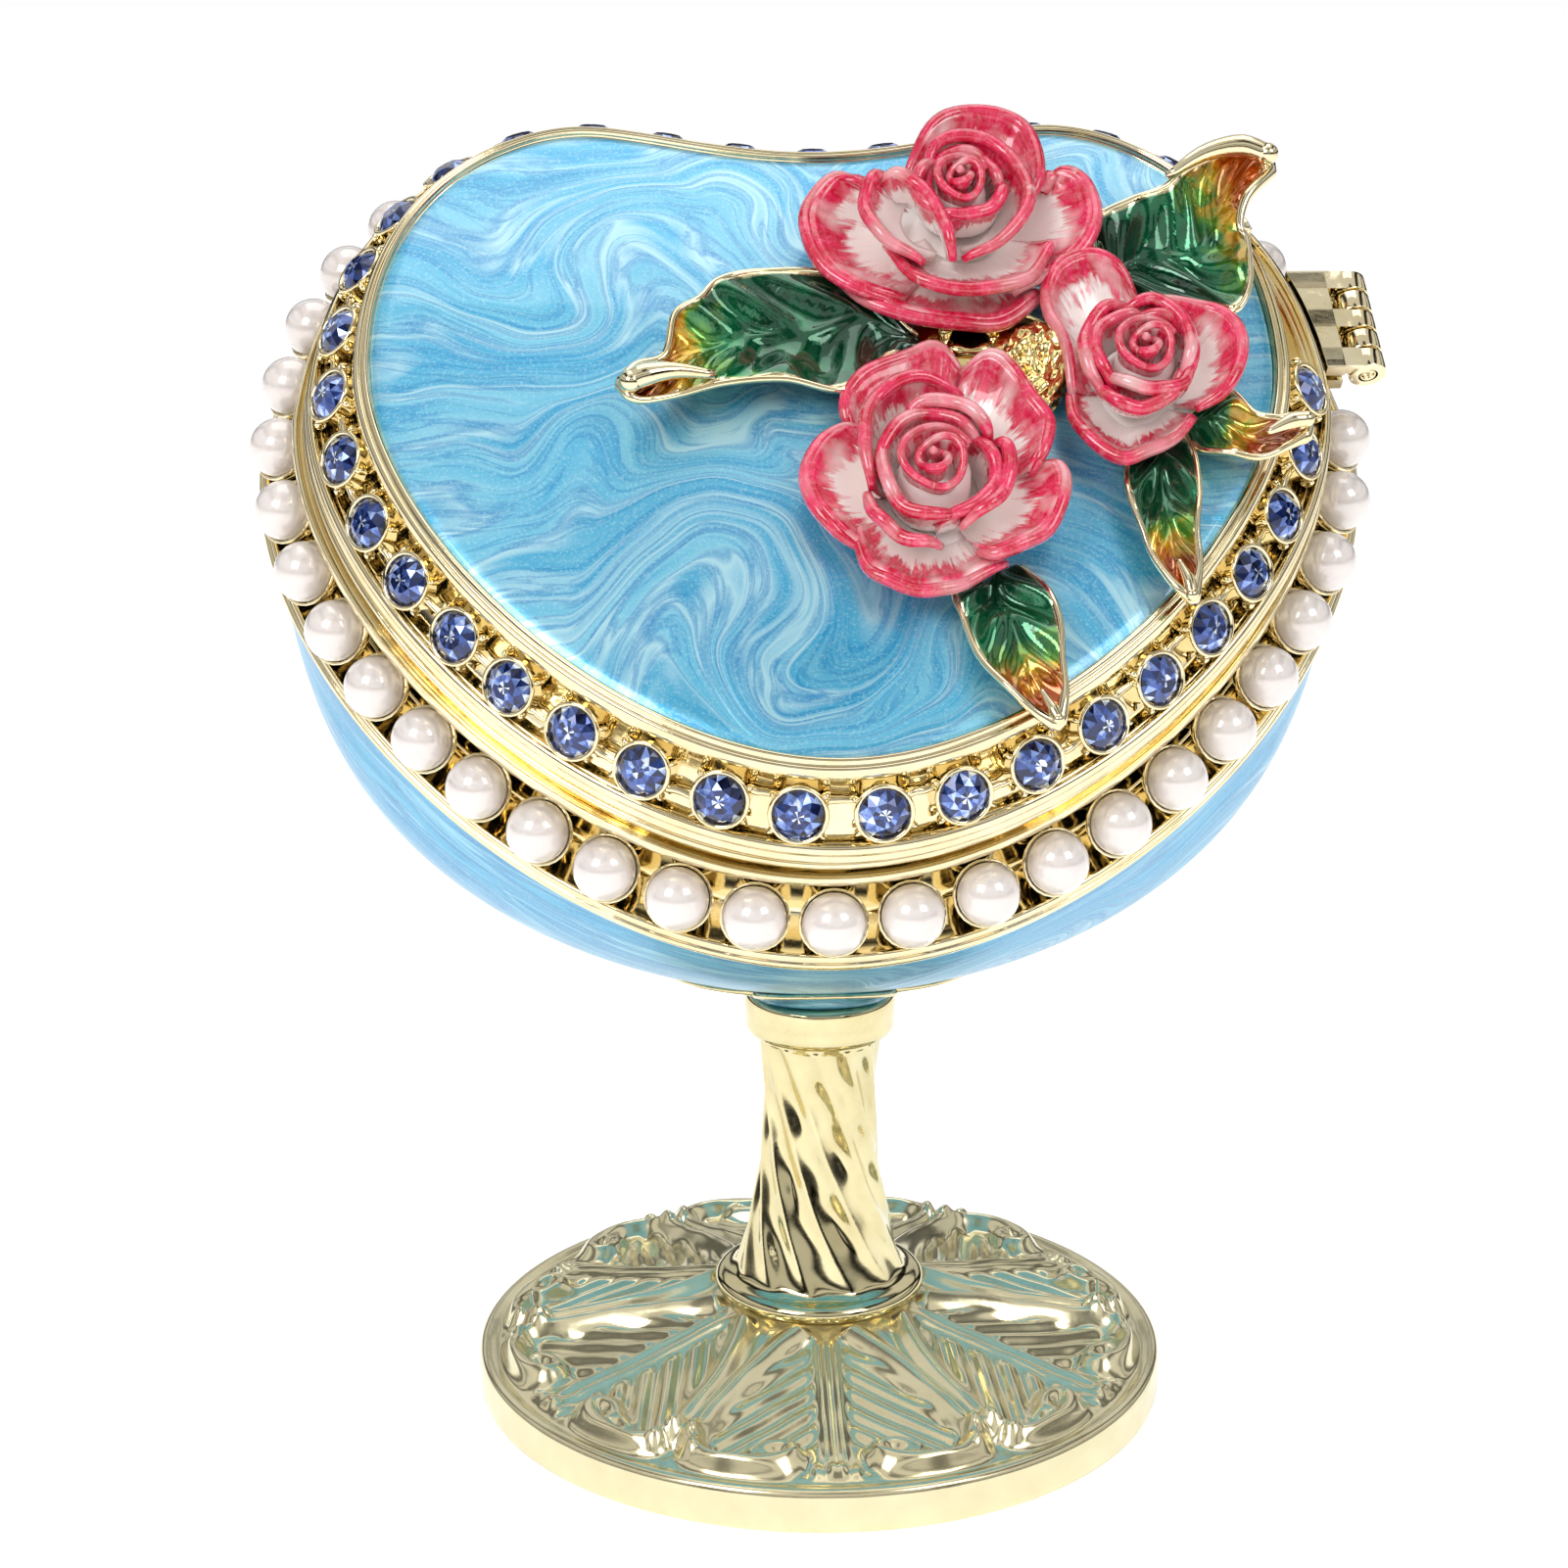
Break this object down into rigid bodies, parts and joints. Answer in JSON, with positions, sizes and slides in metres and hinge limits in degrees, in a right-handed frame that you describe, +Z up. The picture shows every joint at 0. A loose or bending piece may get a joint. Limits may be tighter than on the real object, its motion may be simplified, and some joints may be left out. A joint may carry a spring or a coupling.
{
  "type": "trinket box",
  "caption": "Jewelled trinket box: a hinged heart-shaped lid with enamelled roses on a deep rounded bowl, tilted on a twisted stem and a round leafy foot.",
  "frame": {"origin": "centre of the foot's flat underside, on the table", "axes": "+Z up; the box faces -Y and leans forward toward it; +X is to the viewer's right, on the hinge's side"},
  "size_m": [0.0566, 0.0426, 0.0654],
  "materials": {
    "pale_gold": "polished, plated",
    "blue_enamel": "glossy enamel over an engraved ground",
    "pearl": "pearly",
    "rose_enamel": "glossy enamel on cast metal"
  },
  "bodies": {
    "box": {"bowl": "blue_enamel", "calyx": "blue_enamel", "foot": "pale_gold", "hinge_bowl_leaf": "pale_gold", "hinge_pin": "pale_gold", "pearl_01": "pearl", "pearl_02": "pearl", "pearl_03": "pearl", "pearl_04": "pearl", "pearl_05": "pearl", "pearl_06": "pearl", "pearl_07": "pearl", "pearl_08": "pearl", "pearl_09": "pearl", "pearl_10": "pearl", "pearl_11": "pearl", "pearl_12": "pearl", "pearl_13": "pearl", "pearl_14": "pearl", "pearl_15": "pearl", "pearl_16": "pearl", "pearl_17": "pearl", "pearl_18": "pearl", "pearl_19": "pearl", "pearl_20": "pearl", "pearl_21": "pearl", "pearl_22": "pearl", "pearl_23": "pearl", "pearl_24": "pearl", "pearl_25": "pearl", "pearl_26": "pearl", "pearl_27": "pearl", "pearl_28": "pearl", "pearl_29": "pearl", "pearl_30": "pearl", "pearl_31": "pearl", "pearl_32": "pearl", "pearl_33": "pearl", "pearl_34": "pearl", "pearl_35": "pearl", "pearl_36": "pearl", "pearl_37": "pearl", "pearl_38": "pearl", "pearl_39": "pearl", "pearl_40": "pearl", "stem": "pale_gold"},
    "lid": {"lid": "pale_gold", "rose_spray": "rose_enamel", "hinge_lid_leaf": "pale_gold"}
  },
  "joints": [
    {"name": "lid_hinge", "type": "hinge", "parent": "box", "child": "lid", "pos_m": [0.02715, 0.00427, 0.05469], "axis": [-0.0872, 0.692, 0.7166], "range_deg": [0, 100]}
  ]
}
